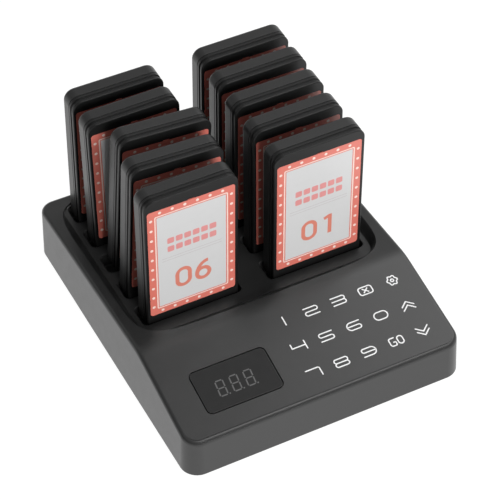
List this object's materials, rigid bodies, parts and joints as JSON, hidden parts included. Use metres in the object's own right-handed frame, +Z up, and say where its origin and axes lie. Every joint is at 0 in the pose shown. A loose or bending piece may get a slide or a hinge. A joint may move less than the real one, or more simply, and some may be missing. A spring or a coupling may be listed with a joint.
{
  "type": "guest pager system",
  "caption": "Charging base with a sloping touch keypad and a display window, and upright rectangular guest pagers that lift out of slots in its top.",
  "frame": {"origin": "centre of the base's footprint, on the surface that the rubber feet stand on", "axes": "+X to the right seen from the keypad side, +Y from the keypad to the back, +Z up"},
  "size_m": [0.19, 0.23, 0.142],
  "materials": {
    "base_plastic": "fine matt texture",
    "feet_rubber": "matt",
    "screw_steel": "zinc plated",
    "circuit_board": "solder mask",
    "contact_gold": "gold plated",
    "window_plastic": "smoked, polished",
    "module_black": "matt",
    "radio_blue": "solder mask",
    "socket_black": "satin",
    "rocker_black": "satin",
    "pager_matte": "satin",
    "pager_gloss": "polished",
    "label_red": "printed card under a clear film"
  },
  "bodies": {
    "base": {"top_shell": "base_plastic", "bottom_cover": "base_plastic", "rubber_feet": "feet_rubber", "cover_screws": "screw_steel", "charging_boards": "circuit_board", "contact_pins": "contact_gold", "board_screws": "screw_steel", "main_board": "circuit_board", "touch_key_board": "circuit_board", "display_window": "window_plastic", "display_module": "module_black", "radio_module": "radio_blue", "buzzer": "module_black", "power_inlet": "socket_black", "switch_housing": "socket_black"},
    "rocker": {"switch_rocker": "rocker_black"},
    "pager_01": {"pager_01_rear_shell": "pager_matte", "pager_01_front_cover": "pager_gloss", "pager_01_label_card": "label_red", "pager_01_electronics": "circuit_board"},
    "pager_02": {"pager_02_rear_shell": "pager_matte", "pager_02_front_cover": "pager_gloss", "pager_02_label_card": "label_red", "pager_02_electronics": "circuit_board"},
    "pager_03": {"pager_03_rear_shell": "pager_matte", "pager_03_front_cover": "pager_gloss", "pager_03_label_card": "label_red", "pager_03_electronics": "circuit_board"},
    "pager_04": {"pager_04_rear_shell": "pager_matte", "pager_04_front_cover": "pager_gloss", "pager_04_label_card": "label_red", "pager_04_electronics": "circuit_board"},
    "pager_05": {"pager_05_rear_shell": "pager_matte", "pager_05_front_cover": "pager_gloss", "pager_05_label_card": "label_red", "pager_05_electronics": "circuit_board"},
    "pager_06": {"pager_06_rear_shell": "pager_matte", "pager_06_front_cover": "pager_gloss", "pager_06_label_card": "label_red", "pager_06_electronics": "circuit_board"},
    "pager_07": {"pager_07_rear_shell": "pager_matte", "pager_07_front_cover": "pager_gloss", "pager_07_label_card": "label_red", "pager_07_electronics": "circuit_board"},
    "pager_08": {"pager_08_rear_shell": "pager_matte", "pager_08_front_cover": "pager_gloss", "pager_08_label_card": "label_red", "pager_08_electronics": "circuit_board"},
    "pager_09": {"pager_09_rear_shell": "pager_matte", "pager_09_front_cover": "pager_gloss", "pager_09_label_card": "label_red", "pager_09_electronics": "circuit_board"},
    "pager_10": {"pager_10_rear_shell": "pager_matte", "pager_10_front_cover": "pager_gloss", "pager_10_label_card": "label_red", "pager_10_electronics": "circuit_board"}
  },
  "joints": [
    {"name": "rocker_turn", "type": "hinge", "parent": "base", "child": "rocker", "pos_m": [0.024, 0.11244, 0.01742], "axis": [1, 0, 0], "range_deg": [0, 20]},
    {"name": "pager_01_lift", "type": "slide", "parent": "base", "child": "pager_01", "axis": [-0.007, -0.0384, 0.9992], "range_m": [0, 0.12]},
    {"name": "pager_02_lift", "type": "slide", "parent": "base", "child": "pager_02", "axis": [-0.007, -0.0349, 0.9994], "range_m": [0, 0.12]},
    {"name": "pager_03_lift", "type": "slide", "parent": "base", "child": "pager_03", "axis": [0, -0.0366, 0.9993], "range_m": [0, 0.12]},
    {"name": "pager_04_lift", "type": "slide", "parent": "base", "child": "pager_04", "axis": [-0.0035, -0.0506, 0.9987], "range_m": [0, 0.12]},
    {"name": "pager_05_lift", "type": "slide", "parent": "base", "child": "pager_05", "axis": [-0.0035, -0.0558, 0.9984], "range_m": [0, 0.12]},
    {"name": "pager_06_lift", "type": "slide", "parent": "base", "child": "pager_06", "axis": [0, -0.0419, 0.9991], "range_m": [0, 0.12]},
    {"name": "pager_07_lift", "type": "slide", "parent": "base", "child": "pager_07", "axis": [0.0558, -0.0331, 0.9979], "range_m": [0, 0.12]},
    {"name": "pager_08_lift", "type": "slide", "parent": "base", "child": "pager_08", "axis": [0.0715, -0.0261, 0.9971], "range_m": [0, 0.12]},
    {"name": "pager_09_lift", "type": "slide", "parent": "base", "child": "pager_09", "axis": [-0.007, -0.0332, 0.9994], "range_m": [0, 0.12]},
    {"name": "pager_10_lift", "type": "slide", "parent": "base", "child": "pager_10", "axis": [0.0052, -0.0541, 0.9985], "range_m": [0, 0.12]}
  ]
}
